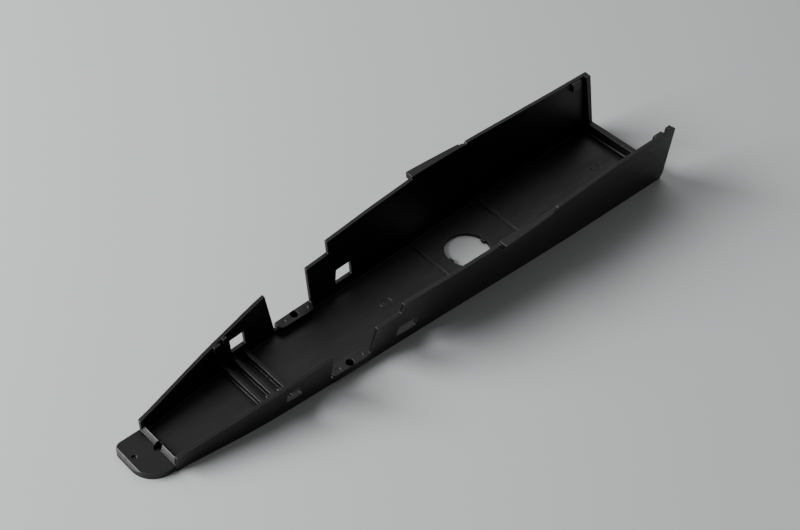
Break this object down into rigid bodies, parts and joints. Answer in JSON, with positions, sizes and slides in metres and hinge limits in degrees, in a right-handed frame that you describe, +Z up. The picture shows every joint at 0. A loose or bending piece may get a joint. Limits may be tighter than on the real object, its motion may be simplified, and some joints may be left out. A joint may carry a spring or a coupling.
{
  "type": "chassis tub",
  "caption": "Long open-topped moulded plastic chassis tub with a nose tongue, splayed side walls, side windows, cross ribs and a round floor hole.",
  "frame": {"origin": "centre of the bounding box in plan, on the underside that the tub rests on", "axes": "+X towards the nose tongue, +Y to the left of the vehicle, +Z up"},
  "size_m": [0.315, 0.066, 0.0382],
  "materials": {
    "black_plastic": "satin, fine moulded grain, slightly shiny edges"
  },
  "bodies": {
    "root": {"bay_rib_front": "black_plastic", "bay_rib_rear": "black_plastic", "bulkhead_rib_front": "black_plastic", "bulkhead_rib_middle": "black_plastic", "bulkhead_rib_rear": "black_plastic", "floor_pan": "black_plastic", "front_crossbar": "black_plastic", "left_front_lug_aft": "black_plastic", "left_front_lug_fore": "black_plastic", "left_front_wall": "black_plastic", "left_rear_guide": "black_plastic", "left_rear_lug": "black_plastic", "left_rear_wall": "black_plastic", "left_screw_pad": "black_plastic", "left_top_lip": "black_plastic", "nose_tongue": "black_plastic", "rear_crossbar": "black_plastic", "right_front_lug_aft": "black_plastic", "right_front_lug_fore": "black_plastic", "right_front_wall": "black_plastic", "right_rear_guide": "black_plastic", "right_rear_lug": "black_plastic", "right_rear_wall": "black_plastic", "right_screw_pad": "black_plastic", "right_top_lip": "black_plastic"}
  },
  "joints": []
}
